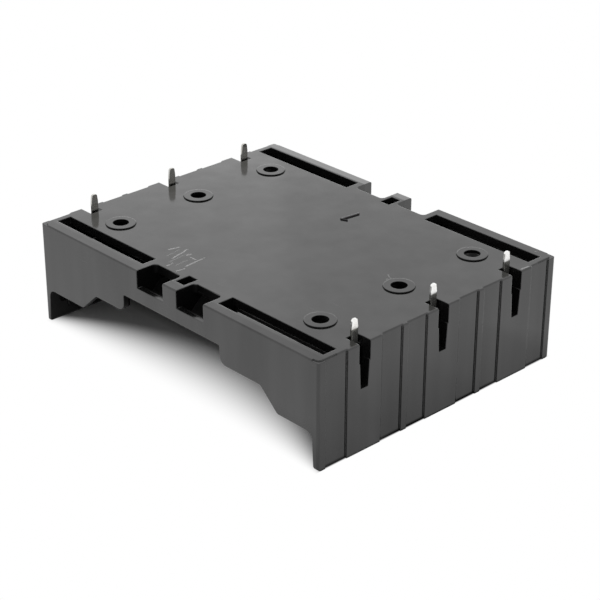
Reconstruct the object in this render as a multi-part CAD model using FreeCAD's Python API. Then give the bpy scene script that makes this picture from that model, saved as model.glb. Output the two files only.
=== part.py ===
import FreeCAD, Part
import math
import os

os.makedirs("parts", exist_ok=True)
V = FreeCAD.Vector
ORIGIN = V(0, 0, 0)
UP = V(0, 0, 1)

# Frame: X runs along the cells, Y across the bays, Z up.
# The holder lies open side down: the rims stand on z = 0 and the base face is on top.

# Cells and bays
bay_count = 3
cell_d = 18.5
cell_length = 65.0
cell_play = 0.1
rim_above_cell = 0.65
contact_room = 3.6

# Moulded walls
divider_t = 0.75
side_wall_t = 1.5
end_wall_t = 2.4
floor_t = 1.75
floor_corner_r = 1.2
overshoot = 2.0

bay_r = cell_d / 2 + cell_play
axis_z = rim_above_cell + bay_r
floor_z = axis_z + bay_r
base_z = floor_z + floor_t
pitch = 2 * bay_r + divider_t
bay_half = cell_length / 2 + contact_room
half_length = bay_half + end_wall_t
bay_ys = [(i - (bay_count - 1) / 2) * pitch for i in range(bay_count)]
outer_bay_y = bay_ys[-1]
wall_in_y = outer_bay_y + bay_r
half_width = wall_in_y + side_wall_t

# Relief of the end walls
recess_depth = 0.32
post_setback = 0.05
plate_low_side = 4.0
plate_high_side = 4.3
step_run = 0.5
rib_low_side = 0.4
rib_high_side = 0.95
post_width = 1.8
corner_r = 0.5
rim_corner_r = 0.9
top_bevel = 0.2

# Lowered corners of the base face
terrace_depth = 0.2
terrace_width = 0.5
terrace_arm_x = 1.8
terrace_arm_y = 4.6
terrace_r = 0.8

# Lower edges of side walls and dividers
lip_wrap = 2.75
relief_over_axis = 1.2
strap_over_axis = 4.7
lip_run = 8.6
long_lip_extra = 2.1
lip_slope_run = 4.3
middle_half = 13.5
post_foot_t = 1.12
post_lean = 0.38
foot_r = 0.5
lip_r = 1.6
edge_r = 1.0
strap_r = 0.4

# Flex slots in the base beside the side walls
slot_in_y = 5.1
near_slot_width = 3.1
far_slot_width = 3.4
slot_start_x = 10.7
slot_end_gap = 1.7
slot_wide_run = 5.0
slot_wide_extra = 0.4

# Finger notches and the hollow block between them
notch_in_y = 6.3
notch_floor_drop = 3.6
notch_r = 0.9
cradle_t = 1.4
block_half = 1.85
block_web_t = 0.68
pocket_width = 3.25

# Screw bosses
screw_from_end = 8.5
screw_bore = 3.0
boss_d = 5.8
boss_h = 0.22
sink_d = 5.8
sink_depth = 1.4

# Contacts
sheet_t = 0.4
plate_half = 7.6
plate_corner = 0.8
wall_clearance = 0.1
seat_gap = 0.2
groove_clearance = 0.15
guide_t = 0.7
guide_overlap = 0.4
guide_lead = 1.2
leaf_half = 4.5
leaf_slit = 0.5
leaf_slit_depth = 1.6
bend_r = 0.6
leaf_lean = 30.0
bow_r = 9.0
tail_run = 1.4
curl_r = 0.8
curl_turn = 50.0
cell_preload = 0.55
button_r = 1.4
button_h = 0.35
pin_width = 1.5
pin_tip_width = 1.1
pin_height = 3.5
pin_tip_run = 1.5
pin_tip_r = 0.45
pin_root_r = seat_gap

# Openings for the pins in base and end walls
pin_hole_half = 1.35
pin_hole_in = 0.7
end_slot_half_top = 1.35
end_slot_half_low = 0.9
end_slot_height = 8.7


def box(x0, x1, y0, y1, z0, z1):
    return Part.makeBox(x1 - x0, y1 - y0, z1 - z0, V(x0, y0, z0))


def rounded_wire(points, radii):
    """Closed wire through the points, each corner rounded by its own radius."""
    count = len(points)
    starts = []
    ends = []
    middles = []
    for i in range(count):
        here = points[i]
        back = (points[i - 1] - here).normalize()
        ahead = (points[(i + 1) % count] - here).normalize()
        radius = radii[i]
        if radius <= 0:
            starts.append(here)
            ends.append(here)
            middles.append(None)
            continue
        half = back.getAngle(ahead) / 2
        reach = radius / math.tan(half)
        bisector = (back + ahead).normalize()
        centre = here + bisector * (radius / math.sin(half))
        starts.append(here + back * reach)
        ends.append(here + ahead * reach)
        middles.append(centre - bisector * radius)
    edges = []
    for i in range(count):
        if middles[i] is not None:
            edges.append(Part.Arc(starts[i], middles[i], ends[i]).toShape())
        following = starts[(i + 1) % count]
        if ends[i].distanceToPoint(following) > 1e-6:
            edges.append(Part.makeLine(ends[i], following))
    return Part.Wire(edges)


def prism(wire, direction):
    return Part.Face(wire).extrude(direction)


def both_signs(shape, normal):
    return [shape, shape.mirror(ORIGIN, normal)]


# Outline of the moulding in plan

def end_profile():
    """Points (y, x) of one end wall from -Y to +Y."""
    post_x = half_length - post_setback
    low_x = half_length - recess_depth
    post_y = half_width - post_width
    points = [(-post_y, post_x), (-post_y, low_x)]
    for number, centre in enumerate(bay_ys):
        if number:
            divider = centre - pitch / 2
            points.append((divider - rib_low_side, low_x))
            points.append((divider - rib_low_side, half_length))
            points.append((divider + rib_high_side, half_length))
            points.append((divider + rib_high_side, low_x))
        points.append((centre - plate_low_side, low_x))
        points.append((centre - plate_low_side, half_length))
        points.append((centre + plate_high_side - step_run / 2, half_length))
        points.append((centre + plate_high_side + step_run / 2, low_x))
    return points + [(post_y, low_x), (post_y, post_x)]


def corner_arc(x, y, x_sign, y_sign):
    """Quarter arc of one outer corner, from the end wall to the side wall."""
    turn = math.radians(45)
    centre = V(x_sign * (x - corner_r), y_sign * (y - corner_r), 0)
    middle = centre + V(x_sign * corner_r * math.cos(turn), y_sign * corner_r * math.sin(turn), 0)
    return Part.Arc(V(x_sign * x, centre.y, 0), middle, V(centre.x, y_sign * y, 0)).toShape()


def end_edges(sign):
    """One end wall with its two corners, and the side wall that follows it."""
    post_x = half_length - post_setback
    corner_y = half_width - corner_r
    profile = [(-corner_y, post_x)] + end_profile() + [(corner_y, post_x)]
    points = [V(sign * x, sign * y, 0) for y, x in profile]
    edges = [Part.makeLine(start, end) for start, end in zip(points, points[1:])]
    edges.append(corner_arc(post_x, half_width, sign, sign))
    side = V(post_x - corner_r, sign * half_width, 0)
    edges.append(Part.makeLine(side, V(-side.x, side.y, 0)))
    edges.append(corner_arc(post_x, half_width, -sign, sign))
    return edges


def outer_block():
    block = prism(Part.Wire(end_edges(1) + end_edges(-1)), V(0, 0, base_z))
    rim = [e for e in block.Edges if min(v.Point.z for v in e.Vertexes) > base_z - 1e-6]
    return block.makeChamfer(top_bevel, rim)


# Bays

def channel_section(x, centre):
    """Flat floor with rounded corners above the axis, round lips below it."""
    corner = floor_corner_r * (1 - math.cos(math.radians(45)))
    left = centre - bay_r
    right = centre + bay_r
    high = floor_z - floor_corner_r
    edges = [
        Part.makeLine(V(x, left, axis_z), V(x, left, high)),
        Part.Arc(V(x, left, high), V(x, left + corner, floor_z - corner),
                 V(x, left + floor_corner_r, floor_z)).toShape(),
        Part.makeLine(V(x, left + floor_corner_r, floor_z), V(x, right - floor_corner_r, floor_z)),
        Part.Arc(V(x, right - floor_corner_r, floor_z), V(x, right - corner, floor_z - corner),
                 V(x, right, high)).toShape(),
        Part.makeLine(V(x, right, high), V(x, right, axis_z)),
        Part.Arc(V(x, right, axis_z), V(x, centre, axis_z - bay_r), V(x, left, axis_z)).toShape(),
    ]
    return Part.Wire(edges)


def bay_cutters(centre):
    cradle_in = slot_start_x - cradle_t
    spans = ((-bay_half, -slot_start_x), (-cradle_in, cradle_in), (slot_start_x, bay_half))
    cutters = [prism(channel_section(x0, centre), V(x1 - x0, 0, 0)) for x0, x1 in spans]
    return cutters + [cell_bore(centre)]


def cell_bore(centre):
    return Part.makeCylinder(bay_r, 2 * bay_half, V(-bay_half, centre, axis_z), V(1, 0, 0))


def guide_ribs(centre):
    """Ribs that trap the contact plate against the end wall."""
    out_x = bay_half - wall_clearance - sheet_t - groove_clearance
    in_x = out_x - guide_t
    low_z = axis_z - lip_wrap
    points = [V(in_x, 0, low_z + guide_lead), V(out_x, 0, low_z), V(out_x, 0, floor_z + floor_t / 2),
              V(in_x, 0, floor_z + floor_t / 2)]
    inner = plate_half - guide_overlap
    length = bay_r + divider_t / 2 - inner
    rib = prism(Part.makePolygon(points + points[:1]), V(0, length, 0))
    ribs = []
    for side in (1, -1):
        start = inner if side > 0 else -inner - length
        placed = rib.translated(V(0, centre + start, 0))
        ribs += both_signs(placed, V(1, 0, 0))
    return ribs


# Lower edges of the walls

def under_edge(extra):
    """Points (x, z, radius) of one half from the foot inwards, its lip longer by the extra."""
    lip_z = axis_z - lip_wrap
    relief_z = axis_z + relief_over_axis
    foot_x = half_length - post_foot_t
    lip_out = foot_x - post_lean
    lip_in = lip_out - lip_run - extra
    return [
        (foot_x + foot_r, -overshoot, 0),
        (foot_x + foot_r, 0, 0),
        (foot_x, foot_r, foot_r),
        (lip_out, lip_z, lip_r),
        (lip_in, lip_z, edge_r),
        (lip_in - lip_slope_run, relief_z, edge_r),
        (middle_half, relief_z, lip_r),
        (middle_half, axis_z + strap_over_axis, strap_r),
    ]


def under_edge_cutters():
    """The -Y half has its long lips at -X, the +Y half at +X."""
    outline = under_edge(0) + [(-x, z, r) for x, z, r in reversed(under_edge(long_lip_extra))]
    points = [V(x, -half_width - overshoot, z) for x, z, _ in outline]
    wire = rounded_wire(points, [r for _, _, r in outline])
    cutter = prism(wire, V(0, half_width + overshoot, 0))
    return [cutter, cutter.rotated(ORIGIN, UP, 180)]


def rim_corners():
    """What the rounded lower corners of the four posts leave out."""
    inner = half_width - rim_corner_r
    block = box(-half_length, half_length, inner, half_width, 0, rim_corner_r)
    centre = V(-half_length, inner, rim_corner_r)
    round_part = Part.makeCylinder(rim_corner_r, 2 * half_length, centre, V(1, 0, 0))
    return both_signs(block.cut(round_part), V(0, 1, 0))


# Slots, notches and block beside each side wall

def side_openings(slot_width):
    """Through openings of the base along the +Y side wall."""
    slot_in = outer_bay_y + slot_in_y
    slot_end = half_length - slot_end_gap
    low = floor_z - overshoot
    high = base_z + overshoot
    cutters = both_signs(box(slot_start_x, slot_end, slot_in, slot_in + slot_width, low, high), V(1, 0, 0))
    pocket_half = block_half - block_web_t
    cutters.append(box(-pocket_half, pocket_half, slot_in, slot_in + pocket_width, low, high))
    return cutters + both_signs(notch_cutter(), V(1, 0, 0))


def near_side_openings():
    """The same along the -Y side wall, where one slot is wider at its inner end."""
    slot_in = outer_bay_y + slot_in_y
    wide = box(slot_start_x, slot_start_x + slot_wide_run, slot_in,
               slot_in + near_slot_width + slot_wide_extra, floor_z - overshoot, base_z + overshoot)
    return [c.mirror(ORIGIN, V(0, 1, 0)) for c in side_openings(near_slot_width) + [wide]]


def notch_cutter():
    notch_in = outer_bay_y + notch_in_y
    notch_out = half_width + overshoot
    outer_x = slot_start_x - cradle_t
    low = base_z - notch_floor_drop
    points = [V(block_half, notch_out, low), V(block_half, notch_in, low),
              V(outer_x, notch_in, low), V(outer_x, notch_out, low)]
    wire = rounded_wire(points, [0, notch_r, notch_r, 0])
    return prism(wire, V(0, 0, notch_floor_drop + overshoot))


def block_webs(sign):
    """Two webs under the block, round underneath to clear the cell."""
    centre = sign * outer_bay_y
    inner = outer_bay_y + slot_in_y - block_web_t
    outer = wall_in_y + side_wall_t / 2
    web = box(block_half - block_web_t, block_half, inner, outer, axis_z, floor_z + floor_t / 2)
    if sign < 0:
        web = web.mirror(ORIGIN, V(0, 1, 0))
    return [w.cut(cell_bore(centre)) for w in both_signs(web, V(1, 0, 0))]


# Corners, screws and pin openings

def corner_terraces():
    x_in = half_length - post_setback - terrace_width
    y_in = half_width - terrace_width
    low = base_z - terrace_depth
    height = terrace_depth + overshoot
    outer = box(half_length - terrace_arm_x, half_length + overshoot,
                half_width - terrace_arm_y, half_width + overshoot, low, low + height)
    keep_points = [V(0, 0, low), V(x_in, 0, low), V(x_in, y_in, low), V(0, y_in, low)]
    keep = prism(rounded_wire(keep_points, [0, 0, terrace_r, 0]), V(0, 0, height))
    corner = outer.cut(keep)
    pair = both_signs(corner, V(1, 0, 0))
    return pair + [c.mirror(ORIGIN, V(0, 1, 0)) for c in pair]


def screw_places():
    screw_x = bay_half - screw_from_end
    return [V(sign * screw_x, centre, 0) for sign in (1, -1) for centre in bay_ys]


def boss(place):
    foot = place + V(0, 0, base_z - floor_t / 2)
    return Part.makeCylinder(boss_d / 2, boss_h + floor_t / 2, foot, UP)


def screw_hole(place):
    bore_z = floor_z - overshoot
    bore = Part.makeCylinder(screw_bore / 2, floor_t + 2 * overshoot, place + V(0, 0, bore_z), UP)
    sink = Part.makeCone(sink_d / 2, screw_bore / 2, sink_depth, place + V(0, 0, floor_z), UP)
    return bore.fuse(sink)


def pin_openings(centre):
    hole = box(bay_half - pin_hole_in, half_length + overshoot, centre - pin_hole_half,
               centre + pin_hole_half, floor_z - overshoot, base_z + overshoot)
    low = base_z - end_slot_height
    spread = (end_slot_half_top - end_slot_half_low) / end_slot_height
    high_half = end_slot_half_top + spread * overshoot
    x = bay_half - overshoot / 2
    points = [V(x, centre - end_slot_half_low, low), V(x, centre + end_slot_half_low, low),
              V(x, centre + high_half, base_z + overshoot), V(x, centre - high_half, base_z + overshoot)]
    taper = prism(Part.makePolygon(points + points[:1]), V(end_wall_t + 2 * overshoot, 0, 0))
    return both_signs(hole, V(1, 0, 0)) + both_signs(taper, V(1, 0, 0))


def make_housing():
    cutters = []
    for centre in bay_ys:
        cutters += bay_cutters(centre)
    shape = outer_block().cut(cutters)
    added = [boss(place) for place in screw_places()]
    for centre in bay_ys:
        added += guide_ribs(centre)
    added += block_webs(1) + block_webs(-1)
    shape = shape.fuse(added)
    cutters = under_edge_cutters() + rim_corners() + corner_terraces()
    cutters += side_openings(far_slot_width) + near_side_openings()
    cutters += [screw_hole(place) for place in screw_places()]
    for centre in bay_ys:
        cutters += pin_openings(centre)
    return shape.cut(cutters).removeSplitter()


# Contacts: one folded sheet each, drawn for the +X end of a bay on y = 0

def heading(angle):
    return V(math.cos(math.radians(angle)), 0, math.sin(math.radians(angle)))


def sheet_path(start, angle, moves):
    """Closed outline of a sheet of even thickness that follows lines and arcs."""
    half = sheet_t / 2
    place = start
    right_side = []
    left_side = []
    for kind, size, turn in moves:
        left = heading(angle + 90)
        if kind == "line":
            onward = place + heading(angle) * size
            for rail, shift in ((right_side, -half), (left_side, half)):
                rail.append(Part.makeLine(place + left * shift, onward + left * shift))
            place = onward
            continue
        side = 1 if turn > 0 else -1
        centre = place + left * (side * size)
        for rail, shift in ((right_side, -half), (left_side, half)):
            radius = size - side * shift
            ends = [centre - heading(angle + part * turn + 90) * (side * radius) for part in (0, 0.5, 1)]
            rail.append(Part.Arc(*ends).toShape())
        angle += turn
        place = centre - heading(angle + 90) * (side * size)
    caps = [Part.makeLine(right_side[-1].Vertexes[-1].Point, left_side[-1].Vertexes[-1].Point),
            Part.makeLine(right_side[0].Vertexes[0].Point, left_side[0].Vertexes[0].Point)]
    return Part.Wire(Part.sortEdges(right_side + left_side + caps)[0])


def plate_and_pin():
    """Flat plate against the end wall with the board pin on its top edge."""
    plate_x = bay_half - wall_clearance - sheet_t
    top = floor_z - seat_gap
    tip = base_z + pin_height
    low = leaf_root_z() - bend_r - sheet_t / 2
    slit_top = leaf_root_z() + leaf_slit_depth
    half = pin_width / 2
    thin = pin_tip_width / 2
    neck = tip - pin_tip_run
    right_half = [
        (leaf_half, leaf_root_z(), 0), (leaf_half, slit_top, 0), (leaf_half + leaf_slit, slit_top, 0),
        (leaf_half + leaf_slit, low, 0), (plate_half, low, plate_corner), (plate_half, top, plate_corner),
        (half, top, pin_root_r), (half, neck, 0), (thin, tip, pin_tip_r),
    ]
    outline = right_half + [(-y, z, r) for y, z, r in reversed(right_half)]
    wire = rounded_wire([V(plate_x, y, z) for y, z, _ in outline], [r for _, _, r in outline])
    return prism(wire, V(sheet_t, 0, 0))


def apex_x():
    return cell_length / 2 - cell_preload


def leaf_run_up():
    """Length of the straight part between the fold and the bow."""
    fold_drop = bend_r * (1 + math.cos(math.radians(leaf_lean)))
    root_x = bay_half - wall_clearance - sheet_t / 2 - fold_drop
    bow_depth = bow_r * (1 - math.cos(math.radians(leaf_lean)))
    crest = apex_x() + sheet_t / 2
    return (root_x - crest - bow_depth) / math.sin(math.radians(leaf_lean))


def leaf_root_z():
    """Height at which the plate turns into the fold, with the bow on the cell's axis."""
    lean = math.radians(leaf_lean)
    rise = bow_r * math.sin(lean) + leaf_run_up() * math.cos(lean)
    return axis_z - rise + bend_r * math.sin(lean)


def spring_leaf():
    start = V(bay_half - wall_clearance - sheet_t / 2, -leaf_half, leaf_root_z())
    moves = [
        ("arc", bend_r, leaf_lean - 180),
        ("line", leaf_run_up(), 0),
        ("arc", bow_r, -2 * leaf_lean),
        ("line", tail_run, 0),
        ("arc", curl_r, curl_turn),
    ]
    leaf = prism(sheet_path(start, 270, moves), V(0, 2 * leaf_half, 0))
    root = V(apex_x() + sheet_t / 2, 0, axis_z)
    toward_cell = V(-1, 0, 0)
    height = button_h + sheet_t / 2
    button = Part.makeCylinder(button_r, height, root, toward_cell)
    hollow = Part.makeCylinder(button_r - sheet_t, height, root + V(sheet_t, 0, 0), toward_cell)
    return leaf.fuse(button).cut(hollow)


def make_contact():
    return plate_and_pin().fuse(spring_leaf()).removeSplitter()


housing = make_housing()
housing.exportStep("parts/housing.step")

contact = make_contact()
number = 0
for end in (1, -1):
    for bay_y in bay_ys:
        number += 1
        placed = contact if end > 0 else contact.rotated(ORIGIN, UP, 180)
        placed = placed.translated(V(0, bay_y, 0))
        placed.exportStep("parts/contact_%d.step" % number)
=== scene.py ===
import math

import bmesh
import bpy
from mathutils import Matrix, Vector


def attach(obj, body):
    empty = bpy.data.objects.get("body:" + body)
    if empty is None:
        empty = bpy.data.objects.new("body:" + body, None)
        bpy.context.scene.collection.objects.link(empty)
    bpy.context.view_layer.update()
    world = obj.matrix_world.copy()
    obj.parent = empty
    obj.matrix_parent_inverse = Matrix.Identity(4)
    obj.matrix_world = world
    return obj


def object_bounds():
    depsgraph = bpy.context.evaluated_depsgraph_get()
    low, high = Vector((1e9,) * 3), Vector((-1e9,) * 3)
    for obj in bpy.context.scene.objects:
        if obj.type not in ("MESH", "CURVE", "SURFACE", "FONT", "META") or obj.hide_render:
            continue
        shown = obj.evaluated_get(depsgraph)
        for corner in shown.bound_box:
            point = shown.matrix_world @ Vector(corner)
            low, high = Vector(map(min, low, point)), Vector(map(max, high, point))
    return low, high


# Sizes and places are in millimetres of the part's frame. Names that end in _M hold metres.

MM = 0.001
BASE_Z = 21.1
CONTACT_COUNT = 6

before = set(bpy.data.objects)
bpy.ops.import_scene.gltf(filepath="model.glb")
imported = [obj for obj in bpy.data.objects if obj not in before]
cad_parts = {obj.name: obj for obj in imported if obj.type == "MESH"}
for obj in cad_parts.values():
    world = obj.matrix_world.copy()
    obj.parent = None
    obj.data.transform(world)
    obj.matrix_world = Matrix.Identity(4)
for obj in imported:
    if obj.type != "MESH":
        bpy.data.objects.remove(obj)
cad_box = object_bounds()
scene = bpy.context.scene
scene.view_settings.view_transform = "Standard"


# Camera at the photograph's viewing angle

IMAGE_PX = 600.0
FOCAL_PX = 1782.59
SENSOR_WIDTH = 36.0
CLIP_START_M = 0.01
CLIP_END_M = 10.0
AZIMUTH = math.radians(46.691)
ELEVATION = math.radians(26.720)
ROLL = math.radians(0.164)
DISTANCE_M = 337.40 * MM
TARGET_M = Vector((3.484, -1.523, 10.0)) * MM


def add_camera():
    back = Vector((math.sin(AZIMUTH) * math.cos(ELEVATION), -math.cos(AZIMUTH) * math.cos(ELEVATION),
                   math.sin(ELEVATION)))
    right = Vector((0, 0, 1)).cross(back).normalized()
    up = back.cross(right)
    rolled_right = right * math.cos(ROLL) + up * math.sin(ROLL)
    rolled_up = up * math.cos(ROLL) - right * math.sin(ROLL)
    data = bpy.data.cameras.new("camera")
    data.sensor_fit = "HORIZONTAL"
    data.sensor_width = SENSOR_WIDTH
    data.lens = FOCAL_PX / IMAGE_PX * SENSOR_WIDTH
    data.clip_start = CLIP_START_M
    data.clip_end = CLIP_END_M
    camera = bpy.data.objects.new("camera", data)
    turn = Matrix((rolled_right, rolled_up, back)).transposed().to_4x4()
    camera.matrix_world = Matrix.Translation(TARGET_M + back * DISTANCE_M) @ turn
    scene.collection.objects.link(camera)
    scene.camera = camera


# Node helpers

MIX_FIRST, MIX_SECOND = 6, 7
MIX_RESULT = 2
NOISE_SPREAD = (0.3, 0.7)
BEVEL_SAMPLES = 6


def grey(value):
    return (value, value, value, 1)


class Nodes:
    """Short names for the nodes of one material or world."""

    def __init__(self, owner):
        owner.use_nodes = True
        self.owner = owner
        self.tree = owner.node_tree
        self.shader = self.tree.nodes.get("Principled BSDF")

    def add(self, kind, **settings):
        node = self.tree.nodes.new(kind)
        for key, value in settings.items():
            setattr(node, key, value)
        return node

    def link(self, output, target):
        self.tree.links.new(output, target)

    def feed(self, target, value):
        """Link a socket, or set a plain value."""
        if isinstance(value, bpy.types.NodeSocket):
            self.link(value, target)
        else:
            target.default_value = value

    def rays(self, kind):
        return self.add("ShaderNodeLightPath").outputs[kind]

    def bounced(self):
        """One for rays mirrored or let through by a surface."""
        return self.math("MAXIMUM", self.rays("Is Glossy Ray"), self.rays("Is Transmission Ray"))

    def millimetres(self):
        """Object coordinates in millimetres."""
        place = self.add("ShaderNodeTexCoord").outputs["Object"]
        scale = self.add("ShaderNodeVectorMath", operation="SCALE")
        self.link(place, scale.inputs[0])
        scale.inputs["Scale"].default_value = 1.0 / MM
        return scale.outputs[0]

    def mapped(self, vector, turn=(0, 0, 0), scale=(1, 1, 1), shift=(0, 0, 0)):
        node = self.add("ShaderNodeMapping")
        self.link(vector, node.inputs["Vector"])
        node.inputs["Location"].default_value = shift
        node.inputs["Rotation"].default_value = [math.radians(v) for v in turn]
        node.inputs["Scale"].default_value = scale
        return node.outputs[0]

    def axes(self, vector):
        node = self.add("ShaderNodeSeparateXYZ")
        self.link(vector, node.inputs[0])
        return node.outputs

    def wobbled(self, vector, scale, reach):
        """The place, shifted a little to and fro by noise."""
        noise = self.add("ShaderNodeTexNoise")
        self.link(vector, noise.inputs["Vector"])
        noise.inputs["Scale"].default_value = scale
        shift = self.mapped(noise.outputs["Color"], scale=(reach,) * 3, shift=(-reach / 2,) * 3)
        total = self.add("ShaderNodeVectorMath", operation="ADD")
        self.link(vector, total.inputs[0])
        self.link(shift, total.inputs[1])
        return total.outputs[0]

    def noise(self, vector, scale, detail=3.0, roughness=0.5):
        node = self.add("ShaderNodeTexNoise")
        self.link(vector, node.inputs["Vector"])
        node.inputs["Scale"].default_value = scale
        node.inputs["Detail"].default_value = detail
        node.inputs["Roughness"].default_value = roughness
        return node.outputs["Fac"]

    def remap(self, value, low, high, to_low=0.0, to_high=1.0, curve="LINEAR"):
        node = self.add("ShaderNodeMapRange", interpolation_type=curve)
        self.feed(node.inputs["Value"], value)
        self.feed(node.inputs["From Min"], low)
        self.feed(node.inputs["From Max"], high)
        self.feed(node.inputs["To Min"], to_low)
        self.feed(node.inputs["To Max"], to_high)
        return node.outputs["Result"]

    def math(self, operation, first, second=0.0):
        node = self.add("ShaderNodeMath", operation=operation)
        self.feed(node.inputs[0], first)
        self.feed(node.inputs[1], second)
        return node.outputs[0]

    def size(self, value):
        """The value without its sign."""
        return self.math("ABSOLUTE", value)

    def past(self, value, limit):
        """How far the value lies past the limit, and nothing before it."""
        return self.math("MAXIMUM", self.math("SUBTRACT", value, limit), 0.0)

    def raised(self, total, amount, share):
        """The total plus a share of the amount."""
        return self.math("ADD", total, self.math("MULTIPLY", amount, share))

    def mix(self, factor, first, second):
        node = self.add("ShaderNodeMix", data_type="RGBA")
        self.feed(node.inputs["Factor"], factor)
        self.feed(node.inputs[MIX_FIRST], first)
        self.feed(node.inputs[MIX_SECOND], second)
        return node.outputs[MIX_RESULT]

    def distance(self, vector, centre):
        node = self.add("ShaderNodeVectorMath", operation="DISTANCE")
        self.link(vector, node.inputs[0])
        node.inputs[1].default_value = centre
        return node.outputs["Value"]

    def bevel(self, radius):
        node = self.add("ShaderNodeBevel", samples=BEVEL_SAMPLES)
        node.inputs["Radius"].default_value = radius * MM
        return node.outputs["Normal"]

    def bump(self, height, strength, depth, normal):
        node = self.add("ShaderNodeBump")
        self.link(height, node.inputs["Height"])
        node.inputs["Strength"].default_value = strength
        node.inputs["Distance"].default_value = depth * MM
        self.link(normal, node.inputs["Normal"])
        return node.outputs["Normal"]

    def finish(self, colour, roughness, normal):
        """Link the three main looks to the shader."""
        self.link(colour, self.shader.inputs["Base Color"])
        self.link(roughness, self.shader.inputs["Roughness"])
        self.link(normal, self.shader.inputs["Normal"])


# Hairlines from handling: turn from +X in degrees, width, length, noise level at which they start

HAIRLINES = (
    (24, 0.16, 9.0, 0.70),
    (-52, 0.13, 7.0, 0.71),
)
HAIRLINE_EDGE = 0.03


def streaks(nodes, vector, turn, width, length, threshold):
    """Thin straight hairlines along one direction."""
    stretched = nodes.mapped(vector, turn=(0, 0, turn), scale=(1 / length, 1 / width, 1 / width))
    field = nodes.noise(stretched, 1.0, detail=1.0)
    return nodes.remap(field, threshold, threshold + HAIRLINE_EDGE)


# Scratches on the base face: centre x, centre y, turn from +X in degrees, length, strength

SCRATCHES = (
    (-12.0, -19.2, 77, 2.8, 1.0),
    (-9.4, -19.9, 104, 5.4, 1.0),
    (-7.2, -24.2, 99, 1.8, 1.0),
    (-8.0, -18.9, 84, 1.2, 1.0),
    (-6.2, -19.4, 9, 1.9, 1.0),
    (-4.8, -20.2, 96, 5.6, 1.0),
    (-4.1, -24.2, 83, 2.2, 1.0),
    (-10.6, -20.6, 100, 4.0, 0.3),
    (-8.3, -21.6, 97, 4.6, 0.3),
    (-6.3, -22.0, 95, 3.6, 0.3),
    (37.9, 22.2, 85, 2.2, 1.0),
    (34.9, 29.2, 20, 0.9, 0.5),
    (23.6, 1.6, -30, 1.9, 0.4),
    (24.2, 0.5, 0, 0.6, 0.4),
)
SCRATCH_WIDTH = 0.45
SCRATCH_TAPER_START = 0.75
SCRATCH_CORE = 0.2
SCRATCH_NOISE = 0.9
SCRATCH_WOBBLE = 0.5
SCRATCH_BREAKS = (0.30, 0.44)
BASE_FACE_START = BASE_Z - 0.1
BASE_FACE_FULL = BASE_Z - 0.02


def scratch(nodes, vector, x, y, turn, length, strength):
    """Mask of one scratch that tapers to its ends."""
    local = nodes.add("ShaderNodeMapping", vector_type="TEXTURE")
    nodes.link(vector, local.inputs["Vector"])
    local.inputs["Location"].default_value = (x, y, 0)
    local.inputs["Rotation"].default_value = (0, 0, math.radians(turn))
    local.inputs["Scale"].default_value = (length / 2, SCRATCH_WIDTH / 2, 1)
    axes = nodes.axes(local.outputs[0])
    along = nodes.remap(nodes.size(axes["X"]), 1.0, SCRATCH_TAPER_START)
    across = nodes.remap(nodes.size(axes["Y"]), 1.0, SCRATCH_CORE, 0.0, strength)
    return nodes.math("MULTIPLY", along, across)


def base_face_scratches(nodes, place):
    """All deep scratches, slightly wavy and broken, on the base face only."""
    wavy = nodes.wobbled(place, SCRATCH_NOISE, SCRATCH_WOBBLE)
    mask = 0.0
    for mark in SCRATCHES:
        mask = nodes.math("MAXIMUM", scratch(nodes, wavy, *mark), mask)
    on_face = nodes.remap(nodes.axes(place)["Z"], BASE_FACE_START, BASE_FACE_FULL)
    broken = nodes.remap(nodes.noise(place, SCRATCH_NOISE, detail=2.0), *SCRATCH_BREAKS)
    return nodes.math("MULTIPLY", nodes.math("MULTIPLY", mask, on_face), broken)


# Painted shade, with a matt finish, in the housing's insides, screw bores, near notches and at the foot of
# each screw ring. Each edge says where the mask is nothing and where it is full.

TRAY_EDGES = (
    ("Z", BASE_Z - 1.7, BASE_Z - 2.1),
    ("folded X", 36.9, 36.5),
    ("folded Y", 29.4, 29.0),
)
NEAR_NOTCH_EDGES = (
    ("folded X", 10.9, 10.7),
    ("folded Y", 23.8, 23.9),
    ("Y", -30.2, -30.0),
    ("Y", -23.7, -23.9),
    ("Z", 17.55, 17.65),
    ("Z", 20.98, 20.9),
)
SCREW_X = 27.6
SCREW_YS = (-19.45, 0.0, 19.45)
BORE_R = 1.58
SINK_R = 3.0
SINK_TOP = BASE_Z - 0.2
RING_R = 2.9
RING_FOOT_SHADE = (0.12, 0.05)
RING_SIDE = (BASE_Z + 0.21, BASE_Z + 0.17)


def within_edges(nodes, measures, edges):
    """Product of the ramps at all the edges."""
    mask = 1.0
    for measure, nothing_at, full_at in edges:
        mask = nodes.math("MULTIPLY", nodes.remap(measures[measure], nothing_at, full_at), mask)
    return mask


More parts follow.
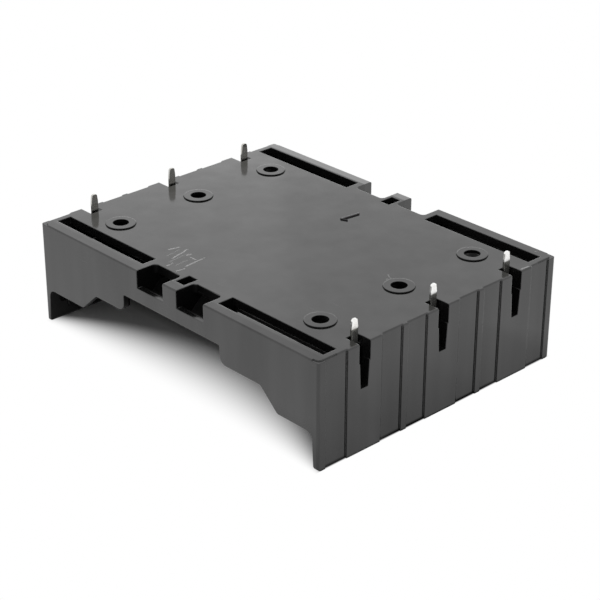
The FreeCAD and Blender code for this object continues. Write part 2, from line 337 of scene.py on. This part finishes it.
def recess_shade_and_matt_mask(nodes, place):
    """Mask of painted shade and matt finish: one within the tray, screw bores, near notches and around each
    screw ring's foot, and nothing on the outer faces.
    """
    axes = nodes.axes(place)
    folded_x = nodes.size(axes["X"])
    measures = {"folded X": folded_x, "folded Y": nodes.size(axes["Y"]), "Y": axes["Y"], "Z": axes["Z"]}
    mask = within_edges(nodes, measures, TRAY_EDGES)
    ring_side = nodes.remap(axes["Z"], *RING_SIDE)
    below_face = nodes.math("LESS_THAN", axes["Z"], SINK_TOP)
    across = nodes.add("ShaderNodeCombineXYZ")
    nodes.link(folded_x, across.inputs["X"])
    nodes.link(axes["Y"], across.inputs["Y"])
    for screw_y in SCREW_YS:
        distance = nodes.distance(across.outputs[0], (SCREW_X, screw_y, 0))
        bore = nodes.math("LESS_THAN", distance, BORE_R)
        sunk = nodes.math("MULTIPLY", nodes.math("LESS_THAN", distance, SINK_R), below_face)
        off_ring = nodes.size(nodes.math("SUBTRACT", distance, RING_R))
        # Painted shade: a dark line at the foot of each screw ring.
        foot = nodes.math("MULTIPLY", nodes.remap(off_ring, *RING_FOOT_SHADE), ring_side)
        for part in (bore, sunk, foot):
            mask = nodes.math("MAXIMUM", part, mask)
    return nodes.math("MAXIMUM", within_edges(nodes, measures, NEAR_NOTCH_EDGES), mask)


# Side walls that bow: their top strips lean outwards past BOW_START from the middle

BOW_START = 28.4
FAR_BOW = 0.10
FAR_BOW_ENDS = (10.0, -6.0)
NEAR_BOW = 0.05


def bowed_wall(nodes, place):
    """Height that leans the near strip all along, and the far one along its left half."""
    axes = nodes.axes(place)
    far = nodes.past(axes["Y"], BOW_START)
    far = nodes.math("MULTIPLY", far, nodes.remap(axes["X"], *FAR_BOW_ENDS, 0.0, FAR_BOW))
    near = nodes.past(nodes.math("MULTIPLY", axes["Y"], -1.0), BOW_START)
    return nodes.math("SUBTRACT", nodes.math("MULTIPLY", near, -NEAR_BOW), far)


# Black plastic: greys are linear, noise scales are per millimetre, bumps are strength and depth

PLASTIC_TONES = (0.010, 0.016)
# Painted shade: the tone of the insides, bores, near notches and ring feet.
PAINTED_RECESS_SHADE_TONE = 0.004
MARK_TONE = 0.75
MARK_COVER = 0.9
CLOUD_SCALE = 0.09
GRAIN_SCALE = 2.6
GRAIN_NOISE_ROUGHNESS = 0.6
WAVE_SCALE = 0.16
WORN_SCALE = 0.07
WORN_LEVELS = (0.48, 0.66)
FLOW_STRETCH = (0.22, 0.22, 0.02)
HAIRLINE_STRENGTH = 0.07
PLASTIC_ROUGHNESS = (0.09, 0.13)
GRAIN_ROUGHNESS = (-0.015, 0.025)
MARK_ROUGHNESS = 0.25
HIDDEN_ROUGHNESS = 0.35
FLOW_GLOSS = (0.445, 0.555)
# Painted shade in reflections: the low reflection level of the same places.
PAINTED_RECESS_SHADE_GLOSS = 0.04
PLASTIC_IOR = 1.66
PLASTIC_EDGE_R = 0.22
WAVE_BUMP = (0.25, 0.12)
BOW_BUMP = (1.0, 1.0)
GRAIN_BUMP = (0.10, 0.012)
MARK_BUMP = (0.15, -0.01)


def black_plastic():
    """Glossy moulded plastic with faint flow marks, handling scratches, and painted shade with a matt finish
    in its insides.
    """
    nodes = Nodes(bpy.data.materials.new("black_plastic_look"))
    place = nodes.millimetres()
    cloud = nodes.noise(place, CLOUD_SCALE, detail=4.0)
    grain = nodes.noise(place, GRAIN_SCALE, roughness=GRAIN_NOISE_ROUGHNESS)
    waviness = nodes.noise(place, WAVE_SCALE, detail=1.0)
    worn = nodes.remap(nodes.noise(place, WORN_SCALE, detail=2.0), *WORN_LEVELS)
    hairlines = nodes.math("MAXIMUM", *[streaks(nodes, place, *lines) for lines in HAIRLINES])
    hairlines = nodes.math("MULTIPLY", hairlines, worn)
    deep = base_face_scratches(nodes, place)
    marks = nodes.math("MAXIMUM", nodes.math("MULTIPLY", hairlines, HAIRLINE_STRENGTH), deep)
    # Mask of painted shade, in colour and in reflection, with a matt finish.
    recess_shade_and_matt = recess_shade_and_matt_mask(nodes, place)
    tone = nodes.mix(cloud, *[grey(value) for value in PLASTIC_TONES])
    tone = nodes.mix(recess_shade_and_matt, tone, grey(PAINTED_RECESS_SHADE_TONE))
    colour = nodes.mix(nodes.math("MULTIPLY", marks, MARK_COVER), tone, grey(MARK_TONE))
    roughness = nodes.remap(cloud, *NOISE_SPREAD, *PLASTIC_ROUGHNESS)
    roughness = nodes.math("ADD", roughness, nodes.remap(grain, *NOISE_SPREAD, *GRAIN_ROUGHNESS))
    roughness = nodes.raised(roughness, marks, MARK_ROUGHNESS)
    roughness = nodes.raised(roughness, recess_shade_and_matt, HIDDEN_ROUGHNESS)
    flow = nodes.noise(nodes.mapped(place, scale=FLOW_STRETCH), 1.0)
    glossy = nodes.remap(flow, *NOISE_SPREAD, *FLOW_GLOSS)
    normal = nodes.bump(waviness, *WAVE_BUMP, nodes.bevel(PLASTIC_EDGE_R))
    normal = nodes.bump(bowed_wall(nodes, place), *BOW_BUMP, normal)
    normal = nodes.bump(grain, *GRAIN_BUMP, normal)
    normal = nodes.bump(marks, *MARK_BUMP, normal)
    nodes.finish(colour, roughness, normal)
    # Weaker reflection in the insides is painted shade.
    nodes.link(nodes.remap(recess_shade_and_matt, 0.0, 1.0, glossy, PAINTED_RECESS_SHADE_GLOSS), nodes.shader.inputs["Specular IOR Level"])
    nodes.shader.inputs["IOR"].default_value = PLASTIC_IOR
    return nodes.owner


# Plated sheet: a painted dark reflection on the pins' feet, painted shade on the left end's pins, and painted
# shade on what lies in the housing

PLATED_TONES = ((0.95, 0.95, 0.94, 1), (0.86, 0.84, 0.80, 1))
PAINTED_FOOT_REFLECTION_TONE = (0.09, 0.09, 0.07, 1)
LEFT_END_PAINTED_SHADE_TONE = (0.26, 0.25, 0.21, 1)
PAINTED_WITHIN_SHADE_TONE = 0.06
PAINTED_FOOT_REFLECTION_ENDS = (BASE_Z + 1.7, BASE_Z + 1.5)
PAINTED_WITHIN_SHADE_ENDS = (BASE_Z, BASE_Z - 2.0)
FOOT_REFLECTION_COVER_RIGHT = 0.75
FOOT_REFLECTION_COVER_LEFT = 0.2
LEFT_END_SHADE_COVER = 0.6
ROLLED_STRETCH = (9.0, 9.0, 0.6)
TARNISH_SCALE = 0.7
TARNISH_LEVELS = (0.45, 0.75)
PLATED_ROUGHNESS = (0.14, 0.24)
TARNISH_ROUGHNESS = 0.12
SHEET_EDGE_R = 0.08
ROLLED_BUMP = (0.2, 0.006)


def plated_contact():
    """Nickel-plated sheet: rolled grain along Z, slight tarnish, soft sheared edges, with a painted dark
    reflection on the pins' feet and painted shade on the left end's pins and within the housing.
    """
    nodes = Nodes(bpy.data.materials.new("plated_contact_look"))
    place = nodes.millimetres()
    rolled = nodes.noise(nodes.mapped(place, scale=ROLLED_STRETCH), 1.0)
    tarnish = nodes.remap(nodes.noise(place, TARNISH_SCALE), *TARNISH_LEVELS)
    axes = nodes.axes(place)
    # Painted shade on the parts of the contacts that lie in the housing.
    within = nodes.remap(axes["Z"], *PAINTED_WITHIN_SHADE_ENDS)
    # Painted dark reflection on the lower part of each pin.
    foot = nodes.remap(axes["Z"], *PAINTED_FOOT_REFLECTION_ENDS)
    left_end = nodes.math("LESS_THAN", axes["X"], 0.0)
    foot_reflection_cover = nodes.remap(left_end, 0.0, 1.0, FOOT_REFLECTION_COVER_RIGHT, FOOT_REFLECTION_COVER_LEFT)
    colour = nodes.mix(tarnish, *PLATED_TONES)
    colour = nodes.mix(nodes.math("MULTIPLY", foot, foot_reflection_cover), colour, PAINTED_FOOT_REFLECTION_TONE)
    # Painted shade: the left end's pins are darker, as on their shaded side.
    colour = nodes.mix(nodes.math("MULTIPLY", left_end, LEFT_END_SHADE_COVER), colour, LEFT_END_PAINTED_SHADE_TONE)
    colour = nodes.mix(within, colour, grey(PAINTED_WITHIN_SHADE_TONE))
    roughness = nodes.remap(rolled, *NOISE_SPREAD, *PLATED_ROUGHNESS)
    roughness = nodes.raised(roughness, tarnish, TARNISH_ROUGHNESS)
    nodes.finish(colour, roughness, nodes.bump(rolled, *ROLLED_BUMP, nodes.bevel(SHEET_EDGE_R)))
    nodes.shader.inputs["Metallic"].default_value = 1.0
    return nodes.owner


def dress(name, material):
    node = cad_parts[name]
    node.data.materials.clear()
    node.data.materials.append(material)


# Cavity numeral, raised on the base face: points across and up from its foot

NUMERAL_OUTLINE = (
    (-0.2, 0.0), (0.2, 0.0), (0.2, 4.35), (-0.05, 4.35), (-1.2, 3.85), (-1.17, 3.72), (-0.2, 4.1),
)
NUMERAL_FOOT = Vector((0.3, 17.1))
NUMERAL_SLANT = 0.12
NUMERAL_HEIGHT = 0.28
NUMERAL_ROOT = 0.05
NUMERAL_SOFT_EDGE = 0.07


def add_numeral(material):
    """Plain numeral 1 with its flag, read from the far side."""
    mesh = bmesh.new()
    foot = []
    for across, up in NUMERAL_OUTLINE:
        x = NUMERAL_FOOT.x - across - NUMERAL_SLANT * up
        foot.append(mesh.verts.new((x * MM, (NUMERAL_FOOT.y - up) * MM, (BASE_Z - NUMERAL_ROOT) * MM)))
    raised = bmesh.ops.extrude_face_region(mesh, geom=[mesh.faces.new(foot)])
    top = [v for v in raised["geom"] if isinstance(v, bmesh.types.BMVert)]
    for vert in top:
        vert.co.z = (BASE_Z + NUMERAL_HEIGHT) * MM
    rim = [e for e in mesh.edges if all(v in top for v in e.verts)]
    bmesh.ops.bevel(mesh, geom=rim, offset=NUMERAL_SOFT_EDGE * MM, segments=3, affect="EDGES", profile=0.5)
    bmesh.ops.recalc_face_normals(mesh, faces=mesh.faces)
    data = bpy.data.meshes.new("cavity_numeral")
    mesh.to_mesh(data)
    mesh.free()
    data.materials.append(material)
    piece = bpy.data.objects.new("cavity_numeral", data)
    scene.collection.objects.link(piece)
    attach(piece, "root")


# Floor. The camera sees it white, apart from the shade that reaches in under the side walls.
# Mirrored rays see it as a light that is weaker towards the foot of the holder.

FLOOR_SIZE_M = 1.5
# The dark floor tone is a painted shadow under the middle of the holder; the pale one is the floor.
FLOOR_AND_PAINTED_SHADOW_TONES = (0.10, 0.78)
PAINTED_FLOOR_SHADOW_ENDS = (10.0, 15.0)
SHADE_DEPTH = 19.0
SHADE_LEAST_DEPTH = 0.5
SHADE_MIDDLE = -1.0
SHADE_REACH = 42.0
SHADE_PAST_SIDE = 0.7
SHADE_END_FADE = 0.3
MIRROR_FADE = 22.0
MIRROR_LOW = 0.58
MIRROR_FOOT = 0.5
MIRROR_SIDE_WEIGHT = 2.0


def white_to_camera(nodes, x, y, half_length, half_width):
    """One where the floor is plain white to the camera, nothing in the middle of the shade."""
    past_end = nodes.remap(nodes.size(x), half_length - SHADE_END_FADE, half_length)
    along = nodes.math("MULTIPLY", nodes.math("SUBTRACT", x, SHADE_MIDDLE), 1.0 / SHADE_REACH)
    depth = nodes.remap(nodes.math("MULTIPLY", along, along), 0.0, 1.0, SHADE_DEPTH, SHADE_LEAST_DEPTH)
    side = half_width + SHADE_PAST_SIDE
    shade_start = nodes.math("SUBTRACT", side, depth)
    past_side = nodes.remap(nodes.size(y), shade_start, side, curve="SMOOTHSTEP")
    return nodes.math("MAXIMUM", past_end, past_side)


def white_to_mirrors(nodes, x, y, half_length, half_width):
    """Strength of the floor for mirrored rays, by the distance from the holder's outline."""
    off_end = nodes.past(nodes.size(x), half_length)
    off_side = nodes.past(nodes.size(y), half_width)
    off = nodes.raised(off_end, off_side, MIRROR_SIDE_WEIGHT)
    strength = nodes.remap(off, 0.0, MIRROR_FADE, MIRROR_LOW, 1.0)
    return nodes.math("MULTIPLY", strength, nodes.remap(off, 0.0, MIRROR_FOOT))


def floor_look():
    nodes = Nodes(bpy.data.materials.new("floor_look"))
    nodes.shader.inputs["Roughness"].default_value = 1.0
    nodes.shader.inputs["Specular IOR Level"].default_value = 0.0
    half_size = [max(abs(cad_box[0][axis]), abs(cad_box[1][axis])) / MM for axis in range(2)]
    axes = nodes.axes(nodes.millimetres())
    x, y = axes["X"], axes["Y"]
    # Painted shadow: the floor's colour is dark under the middle of the holder and pale further out.
    outer = nodes.remap(nodes.size(y), *PAINTED_FLOOR_SHADOW_ENDS)
    tone = nodes.mix(outer, *[grey(value) for value in FLOOR_AND_PAINTED_SHADOW_TONES])
    nodes.link(tone, nodes.shader.inputs["Base Color"])
    straight = nodes.math("MULTIPLY", white_to_camera(nodes, x, y, *half_size), nodes.rays("Is Camera Ray"))
    mirrored = nodes.math("MULTIPLY", white_to_mirrors(nodes, x, y, *half_size), nodes.bounced())
    white = nodes.add("ShaderNodeEmission")
    blend = nodes.add("ShaderNodeMixShader")
    nodes.link(nodes.math("MAXIMUM", straight, mirrored), blend.inputs[0])
    nodes.link(nodes.shader.outputs[0], blend.inputs[1])
    nodes.link(white.outputs[0], blend.inputs[2])
    nodes.link(blend.outputs[0], nodes.tree.nodes["Material Output"].inputs["Surface"])
    return nodes.owner


def add_floor():
    mesh = bmesh.new()
    bmesh.ops.create_grid(mesh, x_segments=1, y_segments=1, size=FLOOR_SIZE_M)
    data = bpy.data.meshes.new("floor")
    mesh.to_mesh(data)
    mesh.free()
    data.materials.append(floor_look())
    floor = bpy.data.objects.new("floor", data)
    scene.collection.objects.link(floor)


# World and lamps. Softboxes: name, place and side in metres, watts

SCATTERED_LIGHT = 0.35
MIRRORED_LIGHT = 1.0
SOFTBOXES = (
    ("back_softbox", (-0.85, 0.80, 0.22), 0.5, 0.35),
    ("left_softbox", (-1.117, 0.488, 0.34), 0.8, 0.38),
)
LAMP_AIM_M = Vector((0, 0, 0.01))


def add_softbox(name, place, size, watts):
    """Square area lamp aimed at the middle of the holder."""
    data = bpy.data.lights.new(name, "AREA")
    data.size = size
    data.energy = watts
    lamp = bpy.data.objects.new(name, data)
    lamp.location = place
    lamp.rotation_euler = (LAMP_AIM_M - Vector(place)).to_track_quat("-Z", "Y").to_euler()
    scene.collection.objects.link(lamp)


def add_light():
    """White world, full to the camera and to mirrored rays, and dimmer as scattered light."""
    scene.world = bpy.data.worlds.new("studio")
    nodes = Nodes(scene.world)
    background = nodes.tree.nodes["Background"]
    background.inputs["Color"].default_value = grey(1.0)
    seen = nodes.math("MAXIMUM", nodes.rays("Is Camera Ray"), nodes.bounced())
    strength = nodes.remap(seen, 0.0, 1.0, SCATTERED_LIGHT, MIRRORED_LIGHT)
    nodes.link(strength, background.inputs["Strength"])
    for softbox in SOFTBOXES:
        add_softbox(*softbox)


add_camera()
add_floor()
add_light()
plastic = black_plastic()
plated = plated_contact()
dress("housing", plastic)
for number in range(1, CONTACT_COUNT + 1):
    dress("contact_%d" % number, plated)
add_numeral(plastic)
